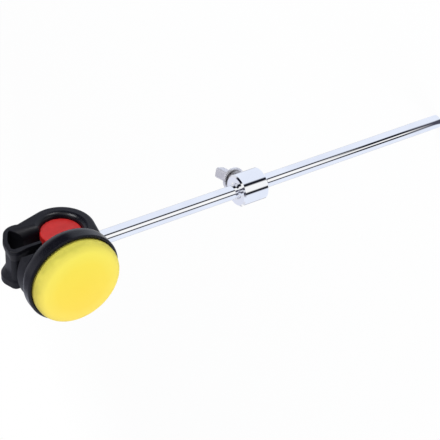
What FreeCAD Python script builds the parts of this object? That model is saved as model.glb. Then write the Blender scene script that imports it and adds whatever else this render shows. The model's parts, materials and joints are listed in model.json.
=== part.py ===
"""Bass drum beater: a chromed shaft with a memory lock, and a padded head that swivels on a hub.

The tail end of the shaft is the origin, +Z runs up the shaft to the head, the striking pad looks
to -Y and the hub's axis lies along X. All lengths are in millimetres.
"""
import math
import os

import FreeCAD
import Part
from FreeCAD import Vector

# fits
overrun = 1.0            # how far a cutting tool runs past the face it cuts
snug_gap = 0.02          # radial gap of a fixed fit
running_gap = 0.05       # radial gap of a turning or sliding fit
touch_gap = 0.3          # gap between a screw's tip and the round shaft

# shaft
shaft_diameter = 8.0
shaft_length = 262.7
shaft_chamfer = 0.7
clamp_length = 130.5     # from the tail to the setting groove
groove_width = 0.8
groove_depth = 0.25

# memory lock
collar_diameter = 18.4
collar_length = 16.8
collar_clearance = 2.5   # from the clamped length up to the collar
collar_edge = 0.9
collar_mouth = 1.1
lock_turn = 14.5         # degrees the screw stands round from the back of the head
lock_diameter = 6.0      # thread of the lock screw
flange_diameter = 14.2
flange_thickness = 2.0
flange_edge = 0.5
key_size = 6.0           # across the square head
key_length = 14.2
key_edge = 1.2
key_turn = 31.5          # degrees the square stands round its own axis
washer_gap = 0.1         # between the washer's bore and the thread
washer_width = 2.7
washer_thickness = 2.3
washer_rise = 1.3        # how far the split ends stand apart
washer_split = 16.0      # degrees of the split
washer_turn = 170.0      # degrees the split stands round the screw

# hub
hub_diameter = 22.0
hub_length = 19.0
hub_edge = 0.7
hub_setback = 4.7        # hub axis behind the shaft's axis
shaft_past_hub = 6.0     # how far the shaft runs past the hub's axis
set_diameter = 5.0
set_length = 10.0
set_chamfer = 0.6
socket_size = 2.5
socket_depth = 2.5

# yoke
yoke_height = 24.6       # along the hub's axis
yoke_wall = 6.9          # round the back of the hub
yoke_plate = 3.65        # plate between the hub and the cup
yoke_round = 1.4
seat_flare = 3.0         # rounding of the seat's mouth
flare_reach = 3.0        # how far the seat's rounding runs in front of the shaft's axis
corner_round = 1.6
plate_below = 15.8       # plate's lower edge, below the hub's axis
web_width = 13.0         # web in front of the hub, along the hub's axis
web_above = 10.8         # web's upper edge, above the hub's axis
wall_start = 14.4        # where the tip's front wall begins, above the hub's axis
cradle_width = 22.0      # cradle behind the cup's upper end, along the hub's axis
cradle_inset = 1.5       # cradle's end inside the cup's rim
cradle_depth = 5.0       # cradle's reach round the cup's shoulder
tip_rise = 21.2          # centre of the tip's back corner above the hub's axis
tip_setback = 5.1        # and behind it
tip_radius = 8.3
brow_rise = 25.1         # centre of the tip's end above the hub's axis
brow_setback = 1.3       # and behind it
brow_radius = 6.6
toe_rise = 28.2          # centre of the tip's front corner above the hub's axis
toe_forward = 4.1        # and in front of it
toe_radius = 3.8
rim_overhang = 1.1       # rim of the tip beyond its waist
upper_rim = 2.2
rim_taper = 4.5          # below the rim, down to the waist
rim_round = 0.6
foot_height = 4.0        # foot of the tip, at its lower end
foot_bulge = 1.5         # end of the foot beyond the upper rim
foot_taper = 2.4         # above the foot, up to the waist
end_wall = 2.4
front_wall = 1.9
pocket_width = 9.6
pocket_corner = 1.8
pocket_step = 18.9       # nose of the thick wall beside the pocket, above the hub's axis
wall_roll = 6.0          # rounding of the thick wall, past its nose
swivel_limit = 8.0       # degrees each way
slot_side_gap = 0.5
slot_end_gap = 0.9
key_hole_diameter = 4.4

# cup and pad
cup_diameter = 51.4
cup_depth = 11.8
cup_floor = 3.0
cup_shoulder = 7.0       # rounding between the cup's back and its side
cup_rise = 6.7           # cup's centre above the hub's axis
lip_wall = 2.1
lip_round = 0.9
pad_gap = 0.1
pad_height = 7.1         # pad's edge in front of the lip
pad_bulge = 0.4          # pad's side beyond its seat
pad_crown = 1.8
pad_round = 4.4
cup_screw_diameter = 3.0
cup_screw_length = 6.2
cup_screw_head = 5.6
cup_screw_spread = 16.0  # along the hub's axis
cup_screw_span = 27.2    # along the shaft
recess_size = 1.6
recess_depth = 1.0

# derived places and sizes
shaft_radius = shaft_diameter / 2
hub_height = shaft_length - shaft_past_hub
hub_radius = hub_diameter / 2
seat_radius = hub_radius + running_gap
barrel_radius = seat_radius + yoke_wall
plate_back = hub_setback - seat_radius
plate_front = plate_back - yoke_plate
wall_front = hub_setback - toe_forward - toe_radius + rim_overhang
pocket_back = wall_front + front_wall + pocket_width
half_height = yoke_height / 2
cup_height = hub_height + cup_rise
cup_radius = cup_diameter / 2
lip_radius = cup_radius - lip_wall
bowl_round = cup_shoulder - lip_wall
lip_front = plate_front - cup_depth
floor_front = plate_front - cup_floor
collar_low = clamp_length + collar_clearance
collar_middle = collar_low + collar_length / 2
collar_radius = collar_diameter / 2
lock_radius = lock_diameter / 2
washer_start = collar_radius + running_gap
flange_start = washer_start + washer_thickness + washer_rise + running_gap
lock_axis = Vector(-math.sin(math.radians(lock_turn)), math.cos(math.radians(lock_turn)), 0)
lock_centre = Vector(0, 0, collar_middle)


def rod(radius, start, direction, length):
    """Solid cylinder from a start point along a direction."""
    return Part.makeCylinder(radius, length, start, direction)


def across(radius, low, high, y, z):
    """Solid cylinder along X."""
    return rod(radius, Vector(low, y, z), Vector(1, 0, 0), high - low)


def along_y(radius, low, high, x, z):
    """Solid cylinder along Y."""
    return rod(radius, Vector(x, low, z), Vector(0, 1, 0), high - low)


def end_edges(solid, x):
    """Edges of a solid that lie in the plane of one X."""
    tolerance = snug_gap
    found = []
    for edge in solid.Edges:
        if abs(edge.BoundBox.XMin - x) < tolerance and abs(edge.BoundBox.XMax - x) < tolerance:
            found.append(edge)
    return found


def outline(circles, x):
    """Closed wire in the plane of one X that wraps circles (y, z, radius) given counter-clockwise."""
    turns = []
    for here, there in zip(circles, circles[1:] + circles[:1]):
        dy = there[0] - here[0]
        dz = there[1] - here[1]
        lean = math.acos((here[2] - there[2]) / math.hypot(dy, dz))
        turns.append(math.atan2(dz, dy) - lean)

    def on_circle(circle, turn):
        return Vector(x, circle[0] + circle[2] * math.cos(turn), circle[1] + circle[2] * math.sin(turn))

    edges = []
    for place, circle in enumerate(circles):
        begin = turns[place - 1]
        finish = begin + (turns[place] - begin) % (2 * math.pi)
        middle = (begin + finish) / 2
        points = [on_circle(circle, turn) for turn in (begin, middle, finish)]
        edges.append(Part.Arc(*points).toShape())
        following = circles[(place + 1) % len(circles)]
        edges.append(Part.LineSegment(points[2], on_circle(following, turns[place])).toShape())
    return Part.Wire(edges)


def belt(circles, low, high):
    """Prism along X whose outline wraps circles."""
    return Part.Face(outline(circles, low)).extrude(Vector(high - low, 0, 0))


def block(low, high):
    """Box between two corners, each (x, y, z)."""
    size = [there - here for here, there in zip(low, high)]
    return Part.makeBox(*size, Vector(*low))


def hexagon(size, start, direction, depth):
    """Hexagonal prism, size across its flats, from a start point along a direction."""
    side = direction.cross(Vector(0, 0, 1))
    up = Vector(0, 0, 1)
    reach = size / math.sqrt(3)
    points = []
    for corner in range(6):
        turn = math.radians(60 * corner)
        points.append(start + side * (reach * math.cos(turn)) + up * (reach * math.sin(turn)))
    return Part.Face(Part.makePolygon(points + [points[0]])).extrude(direction * depth)


def beater_shaft():
    """Round rod, chamfered at both ends, with a shallow setting groove under the lock."""
    body = rod(shaft_radius, Vector(0, 0, 0), Vector(0, 0, 1), shaft_length)
    body = body.makeChamfer(shaft_chamfer, [body.Edges[0], body.Edges[2]])
    groove = rod(shaft_radius + overrun, Vector(0, 0, clamp_length), Vector(0, 0, 1), groove_width)
    core = rod(shaft_radius - groove_depth, Vector(0, 0, clamp_length), Vector(0, 0, 1), groove_width)
    return body.cut(groove.cut(core))


def memory_lock_collar():
    """Collar that slides on the shaft, with a radial hole for its screw."""
    low = Vector(0, 0, collar_low)
    body = rod(collar_radius, low, Vector(0, 0, 1), collar_length)
    body = body.makeChamfer(collar_edge, [body.Edges[0], body.Edges[2]])
    bore = rod(shaft_radius + running_gap, low, Vector(0, 0, 1), collar_length)
    body = body.cut(bore)
    mouth = shaft_radius + running_gap + collar_mouth
    for height, way in ((collar_low, 1), (collar_low + collar_length, -1)):
        end = Vector(0, 0, height)
        body = body.cut(Part.makeCone(mouth, mouth - collar_mouth, collar_mouth, end, Vector(0, 0, way)))
    hole = rod(lock_radius + snug_gap, lock_centre, lock_axis, collar_radius + overrun)
    return body.cut(hole)


def lock_washer():
    """Split spring washer, one open turn between the collar and the screw's flange."""
    inner = lock_radius + washer_gap
    middle = inner + washer_width / 2
    share = 1 - washer_split / 360
    pitch = washer_rise / share
    path = Part.makeHelix(pitch, washer_rise, middle)
    corners = []
    for across_sign, up_share in ((-1, 0), (1, 0), (1, 1), (-1, 1)):
        corners.append(Vector(middle + across_sign * washer_width / 2, 0, up_share * washer_thickness))
    section = Part.makePolygon(corners + [corners[0]])
    ring = Part.Wire(path.Edges).makePipeShell([section], True, True)
    ring = ring.rotated(Vector(0, 0, 0), Vector(0, 0, 1), washer_turn)
    return lay_on_lock(ring, washer_start)


def lay_on_lock(shape, distance):
    """Turns a shape built along Z so that it lies along the lock screw's axis."""
    turn = FreeCAD.Rotation(Vector(0, 0, 1), lock_axis)
    laid = FreeCAD.Placement(lock_centre + lock_axis * distance, turn)
    shape.Placement = laid.multiply(shape.Placement)
    return shape


def memory_lock_screw():
    """Key screw: thread, flange and tall square head."""
    tip = shaft_radius + touch_gap
    thread = rod(lock_radius, Vector(0, 0, 0), Vector(0, 0, 1), flange_start - tip + overrun)
    thread = thread.makeChamfer(set_chamfer, [thread.Edges[2]])
    flange_low = flange_start - tip
    flange = rod(flange_diameter / 2, Vector(0, 0, flange_low), Vector(0, 0, 1), flange_thickness)
    flange = flange.makeFillet(flange_edge, [flange.Edges[0], flange.Edges[2]])
    half = key_size / 2
    start = flange_low + flange_thickness / 2
    head_length = key_length + flange_thickness / 2
    head = Part.makeBox(key_size, key_size, head_length, Vector(-half, -half, start))
    head = head.makeFillet(key_edge, head.Edges)
    head.rotate(Vector(0, 0, 0), Vector(0, 0, 1), key_turn)
    screw = thread.fuse([flange, head]).removeSplitter()
    return lay_on_lock(screw, tip)


def pivot_hub():
    """Round hub that carries the head, bored off centre for the shaft and across for its set screw."""
    half = hub_length / 2
    body = across(hub_radius, -half, half, hub_setback, hub_height)
    body = body.makeFillet(hub_edge, end_edges(body, half) + end_edges(body, -half))
    bore = rod(shaft_radius + snug_gap, Vector(0, 0, hub_height - hub_diameter), Vector(0, 0, 1),
               hub_diameter + shaft_past_hub)
    tapped = along_y(set_diameter / 2 + snug_gap, 0, hub_setback + hub_diameter, 0, hub_height)
    return body.cut(bore).cut(tapped)


def hub_set_screw():
    """Headless screw that locks the shaft in the hub, driven from behind."""
    low = shaft_radius + snug_gap
    body = along_y(set_diameter / 2, low, low + set_length, 0, hub_height)
    body = body.makeChamfer(set_chamfer, [body.Edges[0], body.Edges[2]])
    socket = hexagon(socket_size, Vector(0, low + set_length, hub_height), Vector(0, -1, 0), socket_depth)
    return body.cut(socket)


def head_yoke():
    """Moulded loop that turns on the hub, with a rimmed hollow tip and a cradle for the cup."""
    hub_circle = (hub_setback, hub_height, barrel_radius)
    corner_y = plate_front + corner_round
    low_corner = (corner_y, hub_height - plate_below + corner_round, corner_round)
    high_corner = (corner_y, hub_height + web_above - corner_round, corner_round)
    waist = tip_circles(-rim_overhang, -rim_overhang, -rim_overhang)
    body = belt([low_corner, hub_circle] + waist + [high_corner], -half_height, half_height)
    body = body.makeFillet(yoke_round, end_edges(body, half_height) + end_edges(body, -half_height))
    body = body.cut(front_gaps())
    body = body.fuse(tip_rims() + [cup_cradle()])
    body = body.cut(tip_pocket())
    body = body.cut(hub_seat())
    body = body.cut(shaft_slot())
    back = hub_setback + barrel_radius + overrun
    body = body.cut(along_y(key_hole_diameter / 2, hub_setback, back, 0, hub_height))
    for place in cup_screw_places():
        body = body.cut(cup_screw_hole(place))
    return body.removeSplitter()


def front_gaps():
    """What is cut away in front of the tip and beside the web, as a list of tools."""
    side = half_height + overrun
    top = hub_height + toe_rise + toe_radius
    chord = math.sqrt(seat_radius ** 2 - (hub_setback - wall_front) ** 2)
    tools = [block((-side, plate_front - overrun, hub_height + web_above), (side, wall_front, top))]
    for way in (1, -1):
        near, far = sorted((way * web_width / 2, way * side))
        tools.append(block((near, plate_back, hub_height - chord),
                           (far, wall_front + front_wall, hub_height + wall_start)))
    return tools


def cup_cradle():
    """Upper end of the plate, rounded like the cup and hollowed for its shoulder."""
    front = plate_front - cradle_depth
    disc = along_y(cup_radius - cradle_inset, front, plate_back, 0, cup_height)
    half = cradle_width / 2
    limits = block((-half, front, hub_height), (half, plate_back, cup_height + cup_radius))
    return disc.common(limits).cut(ringed(cup_back(pad_gap) + [(0, lip_front)]))


def tip_circles(back_extra, brow_extra, toe_extra):
    """The three circles that the tip's outline wraps, made larger or smaller."""
    back = (hub_setback + tip_setback, hub_height + tip_rise, tip_radius + back_extra)
    brow = (hub_setback + brow_setback, hub_height + brow_rise, brow_radius + brow_extra)
    toe = (hub_setback - toe_forward, hub_height + toe_rise, toe_radius + toe_extra)
    return [back, brow, toe]


def tip_rims():
    """Flared rim round the upper end of the yoke's tip and a foot round its lower end."""
    heel = (wall_front + front_wall, hub_height + wall_start + front_wall, front_wall / 2)
    rim_low = half_height - upper_rim
    rim_outline = [heel] + tip_circles(0, 0, 0)
    rim = belt(rim_outline, rim_low, half_height)
    rim = rim.makeFillet(rim_round, end_edges(rim, half_height))
    inset = -2 * rim_overhang
    inside = [heel] + tip_circles(inset, inset, inset)
    taper_low = rim_low - 2 * rim_taper
    taper = Part.makeLoft([outline(inside, taper_low), outline(rim_outline, rim_low)], True, True)
    foot_top = foot_height - half_height
    inset = -rim_overhang / 2
    foot_outline = [heel] + tip_circles(inset, foot_bulge, inset)
    foot = belt(foot_outline, -half_height, foot_top)
    foot = foot.makeFillet(rim_round, end_edges(foot, -half_height))
    ankle_high = foot_top + 2 * foot_taper
    ankle = Part.makeLoft([outline(foot_outline, foot_top), outline(inside, ankle_high)], True, True)
    return [rim, taper, foot, ankle]


def tip_pocket():
    """Opening through the yoke between the hub and its tip, with the thick wall beside it rolled in."""
    low = -half_height - overrun
    high = half_height + overrun
    near = wall_front + front_wall + pocket_corner
    far = pocket_back - pocket_corner
    bottom = hub_height + hub_radius / 2
    nose = hub_height + pocket_step
    corners = ((near, bottom), (far, bottom), (far, nose), (near, nose))
    channel = belt([(y, z, pocket_corner) for y, z in corners], low, high)
    back, brow, toe = tip_circles(-end_wall, -end_wall, -end_wall)
    lobe = belt([back, brow, (near, toe[1], pocket_corner), (near, nose, pocket_corner)], low, high)
    pocket = channel.fuse(lobe.cut(thick_wall_end(low, high, nose)))
    for way in (1, -1):
        sections = [rolled_edge(way, hub_height, seat_flare), rolled_edge(way, nose + wall_roll, wall_roll)]
        pocket = pocket.fuse(Part.makeLoft(sections, True, True))
    return pocket


def rolled_edge(way, height, roll):
    """Outline, at one height, of what is cut from the thick wall's edge to round it."""
    face = way * half_height
    inner = face - way * roll
    outer = face + way * overrun
    bulge = roll * (1 - math.sqrt(0.5))
    corners = (
        (inner, pocket_back),
        (inner, pocket_back - overrun),
        (outer, pocket_back - overrun),
        (outer, pocket_back + roll),
        (face, pocket_back + roll),
    )
    points = [Vector(x, y, height) for x, y in corners]
    middle = Vector(face - way * bulge, pocket_back + bulge, height)
    round_edge = Part.Arc(points[-1], middle, points[0]).toShape()
    return Part.Wire(Part.makePolygon(points).Edges + [round_edge])


def thick_wall_end(low, high, nose):
    """Wedge that the thick wall ends in: square to the pocket below its nose, slanting back above."""
    deep = barrel_radius
    corners = ((0, -deep), (deep, -deep), (deep, deep), (0, 0), (0, -deep))
    points = [Vector(low, pocket_back + back, nose + up) for back, up in corners]
    return Part.Face(Part.makePolygon(points)).extrude(Vector(high - low, 0, 0))


def hub_seat():
    """Round seat for the hub, flared at both ends behind the shaft."""
    seat = across(seat_radius, -half_height - overrun, half_height + overrun, hub_setback, hub_height)
    wide = seat_radius + seat_flare
    back = hub_setback + wide
    behind = block((-half_height, -flare_reach, hub_height - wide), (half_height, back, hub_height + wide))
    for way in (1, -1):
        centre = Vector(way * (half_height - seat_flare), hub_setback, hub_height)
        mouth = rod(wide, centre, Vector(way, 0, 0), seat_flare)
        lip = Part.makeTorus(wide, seat_flare, centre, Vector(1, 0, 0))
        seat = seat.fuse(mouth.cut(lip).common(behind))
    return seat


def shaft_slot():
    """Slot in the yoke's lower wall that lets the shaft swing."""
    limit = math.radians(swivel_limit)
    width = shaft_radius + slot_side_gap
    reach = shaft_radius + (barrel_radius + shaft_radius) * math.sin(limit) + slot_end_gap - width
    low = hub_height - barrel_radius - overrun
    front = hub_setback + shaft_radius
    drop = math.sqrt(hub_radius ** 2 - front ** 2) * math.cos(limit) - front * math.sin(limit)
    high = hub_height - drop + slot_end_gap
    slot = block((-width, -reach, low), (width, reach, high))
    for way in (1, -1):
        slot = slot.fuse(rod(width, Vector(0, way * reach, low), Vector(0, 0, 1), high - low))
    return slot


def cup_screw_places():
    """Where the screws that hold the cup go, as (x, z)."""
    places = []
    for side in (-1, 1):
        for end in (-1, 1):
            places.append((side * cup_screw_spread / 2, cup_height + end * cup_screw_span / 2))
    return places


def cup_screw_hole(place):
    """Screw hole through the cup's floor into the yoke, with the head's cone."""
    radius = cup_screw_diameter / 2 + snug_gap
    return cup_screw_solid(place, radius, cup_screw_head / 2 + snug_gap, snug_gap)


def cup_screw_solid(place, radius, head_radius, extra):
    """Countersunk screw body, head in the cup's floor."""
    x, z = place
    cone = head_radius - radius
    start = Vector(x, floor_front, z)
    head = Part.makeCone(head_radius, radius, cone, start, Vector(0, 1, 0))
    return head.fuse(rod(radius, start, Vector(0, 1, 0), cup_screw_length + extra))


def cup_screws():
    """Countersunk screws that hold the cup to the yoke."""
    screws = []
    for place in cup_screw_places():
        screw = cup_screw_solid(place, cup_screw_diameter / 2, cup_screw_head / 2, 0)
        for long_side, short_side in ((2, 1), (1, 2)):
            wide = recess_size * long_side / 2
            tall = recess_size * short_side / 2
            slot = Part.makeBox(wide, recess_depth, tall,
                                Vector(place[0] - wide / 2, floor_front, place[1] - tall / 2))
            screw = screw.cut(slot)
        screws.append(screw)
    return Part.makeCompound(screws)


def rounded_profile(points):
    """Face in the plane X = 0 from lines and arcs; an arc is given as (middle, end)."""
    edges = []
    here = points[0]
    for step in points[1:]:
        if isinstance(step, tuple):
            edges.append(Part.Arc(here, step[0], step[1]).toShape())
            here = step[1]
        else:
            edges.append(Part.LineSegment(here, step).toShape())
            here = step
    edges.append(Part.LineSegment(here, points[0]).toShape())
    return Part.Face(Part.Wire(edges))


def ringed(points):
    """Solid turned about the cup's axis from an outline of (radius, y) steps."""
    def place(step):
        return Vector(0, step[1], cup_height + step[0])
    laid = []
    for step in points:
        if isinstance(step[0], tuple):
            laid.append((place(step[0]), place(step[1])))
        else:
            laid.append(place(step))
    return rounded_profile(laid).revolve(Vector(0, 0, cup_height), Vector(0, 1, 0), 360)


def cup_back(extra):
    """Outline of the cup's back and shoulder, up to its lip, made larger by a radial extra."""
    slant = math.sqrt(0.5)
    shoulder_r = cup_radius + extra - cup_shoulder
    shoulder_y = plate_front - cup_shoulder
    middle = (shoulder_r + cup_shoulder * slant, shoulder_y + cup_shoulder * slant)
    return [
        (0, plate_front),
        (shoulder_r, plate_front),
        (middle, (cup_radius + extra, shoulder_y)),
        (cup_radius + extra, lip_front + lip_round),
    ]


def pad_cup():
    """Round cup with a rolled lip that holds the striking pad."""
    slant = math.sqrt(0.5)
    round_y = lip_front + lip_round
    outer_r = cup_radius - lip_round
    inner_r = lip_radius + lip_round
    bowl_r = lip_radius - bowl_round
    bowl_y = floor_front - bowl_round
    body = ringed(cup_back(0) + [
        ((outer_r + lip_round * slant, round_y - lip_round * slant), (outer_r, lip_front)),
        (inner_r, lip_front),
        ((inner_r - lip_round * slant, round_y - lip_round * slant), (lip_radius, round_y)),
        (lip_radius, bowl_y),
        ((bowl_r + bowl_round * slant, bowl_y + bowl_round * slant), (bowl_r, floor_front)),
        (0, floor_front),
    ])
    for place in cup_screw_places():
        body = body.cut(cup_screw_hole(place))
    return body


def striking_pad():
    """Pad that fills the cup and stands in front of its lip, its rolled edge running into a low dome."""
    slant = math.sqrt(0.5)
    seat_r = lip_radius - pad_gap
    side_r = seat_r + pad_bulge
    round_r = side_r - pad_round
    round_y = lip_front - pad_height + pad_round
    rise = pad_round + pad_crown
    crown_y = round_y - rise
    dome = (round_r ** 2 + rise ** 2 - pad_round ** 2) / (2 * pad_crown)
    lean = math.atan2(round_r, dome - rise)
    bowl_r = seat_r - bowl_round
    bowl_y = floor_front - bowl_round

    def on_round(turn):
        return round_r + pad_round * math.sin(turn), round_y - pad_round * math.cos(turn)

    def on_dome(turn):
        return dome * math.sin(turn), crown_y + dome - dome * math.cos(turn)

    return ringed([
        (0, floor_front),
        (bowl_r, floor_front),
        ((bowl_r + bowl_round * slant, bowl_y + bowl_round * slant), (seat_r, bowl_y)),
        (seat_r, lip_front),
        (side_r, lip_front - pad_bulge),
        (side_r, round_y),
        (on_round((lean + math.pi / 2) / 2), on_round(lean)),
        (on_dome(lean / 2), (0, crown_y)),
    ])


nodes = {
    "beater_shaft": beater_shaft,
    "memory_lock_collar": memory_lock_collar,
    "lock_washer": lock_washer,
    "memory_lock_screw": memory_lock_screw,
    "pivot_hub": pivot_hub,
    "hub_set_screw": hub_set_screw,
    "head_yoke": head_yoke,
    "pad_cup": pad_cup,
    "cup_screws": cup_screws,
    "striking_pad": striking_pad,
}

os.makedirs("parts", exist_ok=True)
for name, make in nodes.items():
    make().exportStep("parts/" + name + ".step")
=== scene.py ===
"""Looks of a bass drum beater: its finishes, the striking pad, the lock screw's thread, light and camera.

Lengths are in metres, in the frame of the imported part: +Z up the shaft, the pad looking to -Y.
"""

import json
import math

import bpy
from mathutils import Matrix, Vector, noise


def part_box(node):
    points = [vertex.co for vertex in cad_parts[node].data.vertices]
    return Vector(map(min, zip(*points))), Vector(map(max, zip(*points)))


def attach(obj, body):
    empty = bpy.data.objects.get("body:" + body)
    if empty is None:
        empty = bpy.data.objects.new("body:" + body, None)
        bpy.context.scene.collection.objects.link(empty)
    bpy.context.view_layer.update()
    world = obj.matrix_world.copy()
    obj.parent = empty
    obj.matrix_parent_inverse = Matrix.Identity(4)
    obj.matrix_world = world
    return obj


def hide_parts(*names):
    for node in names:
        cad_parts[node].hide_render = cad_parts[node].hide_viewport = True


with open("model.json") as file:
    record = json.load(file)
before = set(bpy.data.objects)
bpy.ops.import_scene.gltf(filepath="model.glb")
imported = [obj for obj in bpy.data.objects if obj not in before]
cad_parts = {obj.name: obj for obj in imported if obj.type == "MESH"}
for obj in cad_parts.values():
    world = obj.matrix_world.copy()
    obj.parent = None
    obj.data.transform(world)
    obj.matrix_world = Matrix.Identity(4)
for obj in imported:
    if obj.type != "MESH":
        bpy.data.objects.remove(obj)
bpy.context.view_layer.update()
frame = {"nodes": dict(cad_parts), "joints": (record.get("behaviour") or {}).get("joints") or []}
nodes_of_part = frame["nodes"]

mm = 0.001

# camera, from the photograph's viewing angle
camera_place = Vector((0.42578, -0.46377, 0.50447))
camera_aim = Vector((-0.00879, -0.00839, 0.16520))
camera_up = Vector((0.79154, 0.53409, -0.29700))
camera_lens = 106.23       # millimetres, as the sensor's width is
camera_sensor = 36.0

# finishes
grain_span = (0.3, 0.7)    # values of a grain that bring out its two limits
plastic_gloss = 0.24       # roughness of the cup, and of the yoke round the hub
plastic_dull = 0.46        # roughness of the yoke's tip
plastic_dull_rise = 8 * mm  # how far above the hub the yoke is fully dull

# striking pad
pad_turns = 160            # facets round the pad
pad_edge_round = 4.4 * mm
pad_edge_steps = 16
pad_crown = 1.8 * mm
pad_crown_steps = 26
pad_bulge = 0.4 * mm       # how far it swells over the lip
pad_bulge_steps = 4
pad_gap_depth = 0.5 * mm   # step where the pad leaves the lip
pad_back_round = 4.9 * mm
pad_back_steps = 8
pad_back_rings = (0.3, 0.6)  # rings on its back, as shares of its seat
pad_unevenness = 0.03 * mm
pad_unevenness_size = 9 * mm
pad_tint_reach = 1.15      # distance from its middle that counts as one in pad_painted_light_and_shade_tints, in radii
pad_tint_stir = 0.12       # how far clouds move those tints
# Painted light and shade by distance from the pad's middle: a lighter, greener band inside the rim, then
# painted shade darkening it towards the lip.
pad_painted_light_and_shade_tints = (
    (0.10, (0.95, 0.785, 0.080, 1.0)),
    (0.55, (0.945, 0.800, 0.088, 1.0)),
    (0.74, (0.945, 0.835, 0.115, 1.0)),
    (0.86, (0.92, 0.825, 0.130, 1.0)),
    (0.90, (0.84, 0.765, 0.120, 1.0)),
    (0.935, (0.66, 0.605, 0.090, 1.0)),
)
# Painted light: the pad is less green towards -X and greener towards +X, as if lit that way.
pad_painted_side_light = (               # what these are multiplied by, from its -X side to its +X side
    (0.0, (1.0, 0.86, 1.0, 1.0)),
    (1.0, (1.0, 1.0, 1.0, 1.0)),
)

# thread of the lock screw
thread_radius = 2.96 * mm
thread_pitch = 1.0 * mm
thread_depth = 0.32 * mm
thread_tip = 5.2 * mm      # where it starts, from the shaft's axis
thread_end = 12.6 * mm     # where it ends, under the flange
thread_steps = 36          # points in each turn
# its section as (rise, shift along the screw), in shares of the depth and the pitch
thread_section = ((0.0, -0.45), (1.0, -0.08), (1.0, 0.08), (0.0, 0.45))

# light and floor
white = (1.0, 1.0, 1.0, 1.0)
paper_colour = (0.95, 0.95, 0.95, 1.0)
ambient_colour = (0.97, 0.98, 1.0, 1.0)
ambient_strength = 0.52
lamp_centre = Vector((0.0, 0.0, 0.26))   # the lamps look at the head
floor_side = 6.0
floor_drop = 0.2 * mm
floor_shadow_share = 0.08  # how much of the floor's look is lit near the part, the rest glows white

# what shiny surfaces see round the shaft
tent_colour = (0.83, 0.88, 1.0, 1.0)     # pale sweep
studio_colour = (0.36, 0.36, 0.42, 1.0)  # grey room
card_colour = (0.74, 0.75, 0.82, 1.0)    # light grey cards
shade_colour = (0.07, 0.07, 0.10, 1.0)   # dark cloths
flag_colour = (0.01, 0.011, 0.02, 1.0)   # black flags

# the same by azimuth in degrees: on the floor's far side, on its near side in three rings, and in the room
far_flags = (
    (98, tent_colour),
    (103, studio_colour),
    (109, studio_colour),
    (114, white),
    (154, white),
    (159, studio_colour),
    (166, studio_colour),
    (171, tent_colour),
)
inner_flags = (
    (-98, tent_colour),
    (-86, shade_colour),
    (-44, shade_colour),
    (-32, tent_colour),
) + far_flags
middle_flags = (
    (-106, tent_colour),
    (-100, flag_colour),
    (-82, flag_colour),
    (-75, white),
    (-63, white),
    (-57, flag_colour),
    (-32, flag_colour),
    (-25, tent_colour),
) + far_flags
outer_flags = (
    (-104, tent_colour),
    (-98, flag_colour),
    (-87, flag_colour),
    (-80, white),
    (-46, white),
    (-39, flag_colour),
    (-26, flag_colour),
    (-19, tent_colour),
) + far_flags
room_flags = (
    (-166, card_colour),
    (-154, tent_colour),
    (-130, tent_colour),
    (-118, studio_colour),
    (-106, shade_colour),
    (-90, shade_colour),
    (-84, card_colour),
    (-68, card_colour),
    (-62, shade_colour),
    (-42, shade_colour),
    (-34, white),
    (-4, white),
    (4, flag_colour),
    (54, flag_colour),
    (64, card_colour),
    (100, card_colour),
    (112, studio_colour),
    (142, studio_colour),
    (146, card_colour),
    (156, card_colour),
    (160, studio_colour),
    (166, white),
    (176, white),
    (180, card_colour),
)

# distances from the shaft over which each ring takes over from the one inside it, and the room at the end
middle_start = (0.012, 0.045)
outer_start = (0.09, 0.15)
floor_end = (0.66, 0.86)


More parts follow.
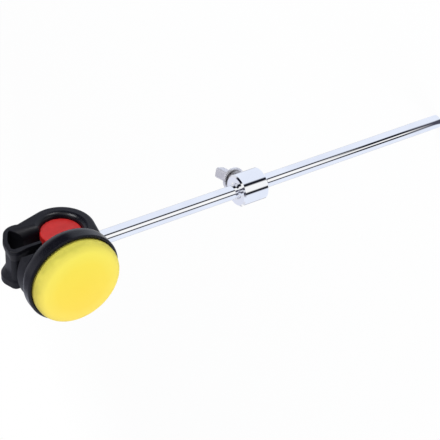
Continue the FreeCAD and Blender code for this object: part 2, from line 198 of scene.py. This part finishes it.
class Finish:
    """A procedural material on the Principled shader, with helpers that wire its nodes."""

    def __init__(self, name, **constants):
        self.material = bpy.data.materials.new(name)
        self.material.use_nodes = True
        self.tree = self.material.node_tree
        self.shader = self.tree.nodes["Principled BSDF"]
        self.place = self.tree.nodes.new("ShaderNodeTexCoord").outputs["Object"]
        for socket, value in constants.items():
            self.shader.inputs[socket.replace("_", " ")].default_value = value

    def link(self, source, target):
        self.tree.links.new(source, target)

    def grain(self, size, detail=3.0, stretch=(1.0, 1.0, 1.0)):
        """Noise whose lumps are about one size across, longer along a stretched axis."""
        mapping = self.tree.nodes.new("ShaderNodeMapping")
        mapping.inputs["Scale"].default_value = [1.0 / (size * way) for way in stretch]
        self.link(self.place, mapping.inputs["Vector"])
        texture = self.tree.nodes.new("ShaderNodeTexNoise")
        texture.inputs["Scale"].default_value = 1.0
        texture.inputs["Detail"].default_value = detail
        self.link(mapping.outputs["Vector"], texture.inputs["Vector"])
        return texture.outputs["Fac"]

    def from_axis(self, y_axis_at, radius):
        """Distance from an axis along Y at one height, as a share of a radius."""
        mapping = self.tree.nodes.new("ShaderNodeMapping")
        mapping.inputs["Location"].default_value = (0.0, 0.0, -y_axis_at / radius)
        mapping.inputs["Scale"].default_value = (1.0 / radius, 0.0, 1.0 / radius)
        self.link(self.place, mapping.inputs["Vector"])
        length = self.tree.nodes.new("ShaderNodeVectorMath")
        length.operation = "LENGTH"
        self.link(mapping.outputs["Vector"], length.inputs[0])
        return length.outputs["Value"]

    def along(self, axis):
        """Place along one axis of the part."""
        split = self.tree.nodes.new("ShaderNodeSeparateXYZ")
        self.link(self.place, split.inputs["Vector"])
        return split.outputs[axis]

    def stirred(self, source, grain, amount):
        """Value to which a grain adds up to an amount."""
        stir = self.tree.nodes.new("ShaderNodeMath")
        stir.operation = "MULTIPLY_ADD"
        stir.inputs[1].default_value = amount
        self.link(grain, stir.inputs[0])
        self.link(source, stir.inputs[2])
        return stir.outputs["Value"]

    def dullness(self, grain, low, high):
        """Lets a grain move the roughness between two limits."""
        self.link(spread(self.tree, grain, grain_span, (low, high)), self.shader.inputs["Roughness"])

    def tint(self, source, stops):
        """Colours the surface by a value, with stops of (position, colour)."""
        ramp = colour_ramp(self.tree, stops)
        self.link(source, ramp.inputs["Fac"])
        self.link(ramp.outputs["Color"], self.shader.inputs["Base Color"])

    def clouds(self, size, dark, light):
        """Colours the surface in soft clouds between two colours."""
        self.tint(self.grain(size), list(zip(grain_span, (dark, light))))

    def wash(self, source, stops):
        """Multiplies the colour so far by a second one, with stops of (position, colour)."""
        ramp = colour_ramp(self.tree, stops)
        self.link(source, ramp.inputs["Fac"])
        both = self.tree.nodes.new("ShaderNodeMixRGB")
        both.blend_type = "MULTIPLY"
        both.inputs["Fac"].default_value = 1.0
        self.link(self.shader.inputs["Base Color"].links[0].from_socket, both.inputs["Color1"])
        self.link(ramp.outputs["Color"], both.inputs["Color2"])
        self.link(both.outputs["Color"], self.shader.inputs["Base Color"])

    def relief(self, grain, depth):
        """Raises the surface by a grain, to a real depth."""
        bump = self.tree.nodes.new("ShaderNodeBump")
        bump.inputs["Distance"].default_value = depth
        self.link(grain, bump.inputs["Height"])
        self.link(bump.outputs["Normal"], self.shader.inputs["Normal"])


def spread(tree, source, span, results):
    """Value that goes from one result to the other as the source crosses a span."""
    node = tree.nodes.new("ShaderNodeMapRange")
    node.inputs["From Min"].default_value = span[0]
    node.inputs["From Max"].default_value = span[1]
    node.inputs["To Min"].default_value = results[0]
    node.inputs["To Max"].default_value = results[1]
    tree.links.new(source, node.inputs["Value"])
    return node.outputs["Result"]


def colour_ramp(tree, stops):
    """Colour ramp node with stops of (position, colour)."""
    ramp = tree.nodes.new("ShaderNodeValToRGB")
    elements = ramp.color_ramp.elements
    while len(elements) < len(stops):
        elements.new(1.0)
    for element, (position, colour) in zip(elements, stops):
        element.position = position
        element.color = colour
    return ramp


def chrome():
    """Bright chrome plating with a faint polish along the shaft."""
    finish = Finish("chrome", Metallic=1.0)
    finish.clouds(14 * mm, dark=(0.90, 0.91, 0.94, 1.0), light=(0.97, 0.975, 0.985, 1.0))
    finish.dullness(finish.grain(0.35 * mm, detail=4.0, stretch=(1.0, 1.0, 30.0)), low=0.03, high=0.07)
    return finish.material


def satin_steel():
    """Dull plated steel with a fine grain."""
    finish = Finish("satin_steel", Metallic=1.0)
    finish.clouds(3 * mm, dark=(0.90, 0.89, 0.92, 1.0), light=(0.97, 0.96, 0.98, 1.0))
    finish.dullness(finish.grain(0.8 * mm), low=0.38, high=0.50)
    finish.relief(finish.grain(0.25 * mm), depth=0.0005 * mm)
    return finish.material


def spring_steel():
    """Dark oiled spring steel."""
    finish = Finish("spring_steel", Metallic=1.0)
    finish.clouds(2 * mm, dark=(0.42, 0.41, 0.41, 1.0), light=(0.56, 0.54, 0.54, 1.0))
    finish.dullness(finish.grain(0.8 * mm), low=0.36, high=0.48)
    finish.relief(finish.grain(0.3 * mm), depth=0.0005 * mm)
    return finish.material


def dark_steel():
    """Black oxide on small screws."""
    finish = Finish("dark_steel", Metallic=1.0)
    finish.clouds(2 * mm, dark=(0.05, 0.05, 0.055, 1.0), light=(0.10, 0.10, 0.11, 1.0))
    finish.dullness(finish.grain(0.6 * mm), low=0.35, high=0.50)
    finish.relief(finish.grain(0.3 * mm), depth=0.004 * mm)
    return finish.material


def red_plastic():
    """Moulded red plastic, a little cloudy."""
    finish = Finish("red_plastic", Specular_IOR_Level=0.4)
    finish.clouds(6 * mm, dark=(0.50, 0.012, 0.011, 1.0), light=(0.59, 0.018, 0.016, 1.0))
    finish.dullness(finish.grain(1.2 * mm), low=0.32, high=0.45)
    finish.relief(finish.grain(0.5 * mm), depth=0.006 * mm)
    return finish.material


def black_plastic(name, heights, roughness):
    """Satin black moulded plastic with a fine eroded texture.

    Its roughness goes from one value to another between two heights.
    """
    finish = Finish(name, Specular_IOR_Level=0.25)
    finish.clouds(8 * mm, dark=(0.004, 0.004, 0.008, 1.0), light=(0.007, 0.007, 0.012, 1.0))
    by_height = spread(finish.tree, finish.along("Z"), heights, roughness)
    stirred = finish.stirred(by_height, finish.grain(1.5 * mm), amount=0.05)
    finish.link(stirred, finish.shader.inputs["Roughness"])
    finish.relief(finish.grain(0.35 * mm, detail=2.0), depth=0.0008 * mm)
    return finish.material


def cup_plastic():
    """Black plastic of the cup, equally glossy all over."""
    low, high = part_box("pad_cup")
    return black_plastic("cup_plastic", (low.z, high.z), (plastic_gloss, plastic_gloss))


def yoke_plastic():
    """Black plastic of the yoke, glossier round the hub and duller towards the tip."""
    low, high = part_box("pivot_hub")
    heights = ((low.z + high.z) / 2, high.z + plastic_dull_rise)
    return black_plastic("yoke_plastic", heights, (plastic_gloss, plastic_dull))


def yellow_rubber():
    """Dense yellow rubber with faint pores, cloudy, with a painted lighter band inside its rim, painted
    shade darkening it towards the lip, and painted light making it greener towards +X.
    """
    finish = Finish("yellow_rubber", Specular_IOR_Level=0.2)
    low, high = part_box("striking_pad")
    share = finish.from_axis((low.z + high.z) / 2, pad_tint_reach * (high.x - low.x) / 2)
    # painted light and shade by distance from the middle, stirred by clouds: a lighter band, then darker
    # towards the lip
    finish.tint(finish.stirred(share, finish.grain(9 * mm, detail=5.0), pad_tint_stir), pad_painted_light_and_shade_tints)
    # painted light: greener towards +X
    finish.wash(spread(finish.tree, finish.along("X"), (low.x, high.x), (0.0, 1.0)), pad_painted_side_light)
    finish.dullness(finish.grain(1.8 * mm), low=0.50, high=0.62)
    finish.relief(finish.grain(0.45 * mm), depth=0.004 * mm)
    return finish.material


def new_piece(name, points, faces, material):
    """Smooth mesh object from points and faces."""
    mesh = bpy.data.meshes.new(name)
    mesh.from_pydata(points, [], faces)
    mesh.validate()
    for face in mesh.polygons:
        face.use_smooth = True
    mesh.materials.append(material)
    piece = bpy.data.objects.new(name, mesh)
    bpy.context.scene.collection.objects.link(piece)
    return piece


def arc(centre, radius, start, stop, steps):
    """Points (radius, y) on an arc between two angles in degrees, both ends included."""
    points = []
    for step in range(steps + 1):
        turn = math.radians(start + (stop - start) * step / steps)
        points.append((centre[0] + radius * math.cos(turn), centre[1] + radius * math.sin(turn)))
    return points


def turned(outline, axis_z):
    """Points and faces of an outline (radius, y) turned about an axis along Y, closed by its two poles."""
    points = []
    faces = []
    for radius, y in outline[1:-1]:
        for step in range(pad_turns):
            turn = 2 * math.pi * step / pad_turns
            points.append((radius * math.cos(turn), y, axis_z + radius * math.sin(turn)))
    rings = len(outline) - 2
    for ring in range(rings - 1):
        for step in range(pad_turns):
            here = ring * pad_turns + step
            beside = ring * pad_turns + (step + 1) % pad_turns
            faces.append((here, beside, beside + pad_turns, here + pad_turns))
    first_pole = len(points)
    points.append((0.0, outline[0][1], axis_z))
    points.append((0.0, outline[-1][1], axis_z))
    last = (rings - 1) * pad_turns
    for step in range(pad_turns):
        beside = (step + 1) % pad_turns
        faces.append((first_pole, beside, step))
        faces.append((first_pole + 1, last + step, last + beside))
    return points, faces


def pad_outline(low, high, lip_y):
    """Half section of the pad as (radius, y), from the middle of its back to the top of its crown."""
    side = (high.x - low.x) / 2
    seat = side - pad_bulge
    round_r = side - pad_edge_round
    rise = pad_edge_round + pad_crown
    dome = (round_r ** 2 + rise ** 2 - pad_edge_round ** 2) / (2 * pad_crown)
    lean = math.degrees(math.atan2(round_r, dome - rise))
    outline = [(0.0, high.y)]
    outline += [(seat * share, high.y) for share in pad_back_rings]
    outline += arc((seat - pad_back_round, high.y - pad_back_round), pad_back_round, 90, 0, pad_back_steps)
    outline += [(seat, lip_y), (seat, lip_y - pad_gap_depth / 2)]
    outline += arc((seat, lip_y - pad_gap_depth - pad_bulge), pad_bulge, 90, 0, pad_bulge_steps)
    outline += arc((round_r, low.y + rise), pad_edge_round, 0, -90 + lean, pad_edge_steps)[:-1]
    outline += arc((0.0, low.y + dome), dome, -90 + lean, -90, pad_crown_steps)
    return outline


def striking_pad(material):
    """Pad that fills the cup, with a rolled edge and a low crown, not quite even."""
    low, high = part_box("striking_pad")
    lip_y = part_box("pad_cup")[0].y
    outline = pad_outline(low, high, lip_y)
    points, faces = turned(outline, (low.z + high.z) / 2)
    uneven = []
    for point in points:
        place = Vector(point)
        if place.y < lip_y:
            place.y += pad_unevenness * noise.noise(place / pad_unevenness_size)
        uneven.append(place)
    piece = new_piece("striking_pad_rubber", uneven, faces, material)
    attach(piece, "head")
    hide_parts("striking_pad")


def lock_thread(material):
    """Ridge of the lock screw's thread, one helix along the screw's axis."""
    joint = next(j for j in frame["joints"] if j["name"] == "lock_turn")
    axis = Vector(joint["axis"]).normalized()
    centre = Vector(joint["pos_m"])
    up = Vector((0.0, 0.0, 1.0))
    side = axis.cross(up)
    count = int((thread_end - thread_tip) / thread_pitch * thread_steps)
    points = []
    faces = []
    for step in range(count + 1):
        turn = 2 * math.pi * step / thread_steps
        away = side * math.cos(turn) + up * math.sin(turn)
        along = thread_tip + thread_pitch * step / thread_steps
        fade = min(1.0, step / thread_steps, (count - step) / thread_steps)
        for rise, shift in thread_section:
            radius = thread_radius + thread_depth * (rise * fade - 1.0)
            points.append(centre + away * radius + axis * (along + shift * thread_pitch))
    wide = len(thread_section)
    for step in range(count):
        for corner in range(wide):
            here = step * wide + corner
            beside = step * wide + (corner + 1) % wide
            faces.append((here, beside, beside + wide, here + wide))
    faces.append(tuple(range(wide)))
    faces.append(tuple(reversed(range(count * wide, count * wide + wide))))
    piece = new_piece("lock_thread", points, faces, material)
    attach(piece, "screw")


def light_path(tree):
    """Light Path node, and a value that is one for rays that see the backdrop.

    These are camera, glossy and transmission rays.
    """
    path = tree.nodes.new("ShaderNodeLightPath")
    value = path.outputs["Is Camera Ray"]
    for name in ("Is Glossy Ray", "Is Transmission Ray"):
        either = tree.nodes.new("ShaderNodeMath")
        either.operation = "MAXIMUM"
        tree.links.new(value, either.inputs[0])
        tree.links.new(path.outputs[name], either.inputs[1])
        value = either.outputs["Value"]
    return path, value


def mixed(tree, factor, first, second):
    """Mix of two shader sockets by a factor socket."""
    mix = tree.nodes.new("ShaderNodeMixShader")
    tree.links.new(factor, mix.inputs["Fac"])
    tree.links.new(first, mix.inputs[1])
    tree.links.new(second, mix.inputs[2])
    return mix.outputs["Shader"]


def glow(tree, colour, kind="ShaderNodeEmission", strength=1.0):
    """Emission or background shader of one colour."""
    shader = tree.nodes.new(kind)
    shader.inputs["Color"].default_value = colour
    shader.inputs["Strength"].default_value = strength
    return shader


def flags_glow(tree, place, flags, kind="ShaderNodeEmission"):
    """Shader socket that glows by the azimuth of a place, from flags of (degrees, colour)."""
    turn = tree.nodes.new("ShaderNodeTexGradient")
    turn.gradient_type = "RADIAL"
    tree.links.new(place, turn.inputs["Vector"])
    ramp = colour_ramp(tree, [(azimuth / 360 + 0.5, colour) for azimuth, colour in flags])
    tree.links.new(turn.outputs["Fac"], ramp.inputs["Fac"])
    shader = glow(tree, white, kind)
    tree.links.new(ramp.outputs["Color"], shader.inputs["Color"])
    return shader.outputs[0]


def studio_world():
    """White to the camera, a dim room to shiny surfaces, and soft light on all else."""
    world = bpy.data.worlds.new("studio")
    world.use_nodes = True
    tree = world.node_tree
    tree.nodes.clear()
    path, seen = light_path(tree)
    kind = "ShaderNodeBackground"
    ambient = glow(tree, ambient_colour, kind, ambient_strength)
    backdrop = glow(tree, white, kind)
    place = tree.nodes.new("ShaderNodeTexCoord").outputs["Generated"]
    room = flags_glow(tree, place, room_flags, kind)
    shown = mixed(tree, path.outputs["Is Camera Ray"], room, backdrop.outputs[0])
    output = tree.nodes.new("ShaderNodeOutputWorld")
    tree.links.new(mixed(tree, seen, ambient.outputs[0], shown), output.inputs["Surface"])
    bpy.context.scene.world = world


def floor_material():
    """Pale floor: white with a soft shadow to the camera, flags to shiny surfaces, clear from below."""
    material = bpy.data.materials.new("floor")
    material.use_nodes = True
    tree = material.node_tree
    tree.nodes.clear()
    path, seen = light_path(tree)
    place = tree.nodes.new("ShaderNodeTexCoord").outputs["Object"]
    length = tree.nodes.new("ShaderNodeVectorMath")
    length.operation = "LENGTH"
    tree.links.new(place, length.inputs[0])
    distance = length.outputs["Value"]
    matt = tree.nodes.new("ShaderNodeBsdfDiffuse")
    matt.inputs["Color"].default_value = paper_colour
    bright = glow(tree, white)
    lit = spread(tree, distance, floor_end, (floor_shadow_share, 0.0))
    paper = mixed(tree, lit, bright.outputs[0], matt.outputs[0])
    mirrored = flags_glow(tree, place, inner_flags)
    rings = ((middle_start, middle_flags), (outer_start, outer_flags), (floor_end, room_flags))
    for span, flags in rings:
        reached = spread(tree, distance, span, (0.0, 1.0))
        mirrored = mixed(tree, reached, mirrored, flags_glow(tree, place, flags))
    shown = mixed(tree, path.outputs["Is Camera Ray"], mirrored, paper)
    above = mixed(tree, seen, matt.outputs[0], shown)
    clear = tree.nodes.new("ShaderNodeBsdfTransparent")
    below = tree.nodes.new("ShaderNodeNewGeometry").outputs["Backfacing"]
    output = tree.nodes.new("ShaderNodeOutputMaterial")
    tree.links.new(mixed(tree, below, above, clear.outputs[0]), output.inputs["Surface"])
    return material


def floor():
    """Large plain floor just under the shaft's tail."""
    half = floor_side / 2
    corners = [(-half, -half, -floor_drop), (half, -half, -floor_drop)]
    corners += [(half, half, -floor_drop), (-half, half, -floor_drop)]
    piece = new_piece("floor", corners, [(0, 1, 2, 3)], floor_material())


def softbox(
    name, azimuth, elevation, distance, side, power, colour=white, shine=True, fill=True, only=None
):
    """Square lamp that looks at the head: seen in shiny surfaces, lighting matt ones, or both.

    It lights the whole scene, or only one node of the part.
    """
    turn = math.radians(azimuth)
    rise = math.radians(elevation)
    flat = math.cos(rise)
    away = Vector((flat * math.cos(turn), flat * math.sin(turn), math.sin(rise)))
    lamp = bpy.data.lights.new(name, "AREA")
    lamp.size = side
    lamp.energy = power
    lamp.color = colour[:3]
    holder = bpy.data.objects.new(name, lamp)
    holder.location = lamp_centre + away * distance
    holder.rotation_mode = "QUATERNION"
    holder.rotation_quaternion = away.to_track_quat("Z", "Y")
    holder.visible_camera = False
    holder.visible_glossy = shine
    holder.visible_diffuse = fill
    if only:
        holder.light_linking.receiver_collection = bpy.data.collections.new(name)
        holder.light_linking.receiver_collection.objects.link(nodes_of_part[only])
    bpy.context.scene.collection.objects.link(holder)


def lamps():
    """Three large soft lamps on matt surfaces, and three small ones that only shiny surfaces show."""
    softbox(
        "overhead", azimuth=-10, elevation=-15, distance=0.50, side=0.13, power=0.50,
        fill=False, only="head_yoke",
    )
    softbox(
        "upper_left", azimuth=5, elevation=35, distance=0.70, side=0.26, power=2.8,
        fill=False, only="head_yoke",
    )
    softbox("top", azimuth=35, elevation=25, distance=0.90, side=0.50, power=4.8, shine=False)
    softbox("front", azimuth=-108, elevation=16, distance=0.85, side=0.60, power=3.5, shine=False)
    softbox(
        "back", azimuth=128, elevation=24, distance=1.20, side=1.20, power=2.4,
        colour=tent_colour, shine=False,
    )
    softbox(
        "rim", azimuth=133, elevation=12.6, distance=0.32, side=0.13, power=0.025,
        colour=tent_colour, fill=False,
    )


def camera():
    """Camera at the photograph's viewing angle."""
    near = (camera_place - camera_aim).normalized()
    right = camera_up.cross(near).normalized()
    up = near.cross(right)
    lens = bpy.data.cameras.new("camera")
    lens.lens = camera_lens
    lens.sensor_width = camera_sensor
    holder = bpy.data.objects.new("camera", lens)
    for column, axis in enumerate((right, up, near, camera_place)):
        for row in range(3):
            holder.matrix_world[row][column] = axis[row]
    bpy.context.scene.collection.objects.link(holder)
    bpy.context.scene.camera = holder


def dress():
    """Gives every node of the part its finish and adds the modelled pieces."""
    finishes = {
        "chrome": chrome(),
        "satin_steel": satin_steel(),
        "spring_steel": spring_steel(),
        "dark_steel": dark_steel(),
        "red_plastic": red_plastic(),
        "cup_plastic": cup_plastic(),
        "yoke_plastic": yoke_plastic(),
        "yellow_rubber": yellow_rubber(),
    }
    worn_by = {
        "beater_shaft": "chrome",
        "memory_lock_collar": "chrome",
        "memory_lock_screw": "satin_steel",
        "lock_washer": "spring_steel",
        "pivot_hub": "red_plastic",
        "hub_set_screw": "dark_steel",
        "head_yoke": "yoke_plastic",
        "pad_cup": "cup_plastic",
        "cup_screws": "dark_steel",
        "striking_pad": "yellow_rubber",
    }
    for node, finish in worn_by.items():
        nodes_of_part[node].data.materials.clear()
        nodes_of_part[node].data.materials.append(finishes[finish])
    striking_pad(finishes["yellow_rubber"])
    lock_thread(finishes["satin_steel"])


dress()
studio_world()
floor()
lamps()
camera()
bpy.context.scene.view_settings.view_transform = "Standard"
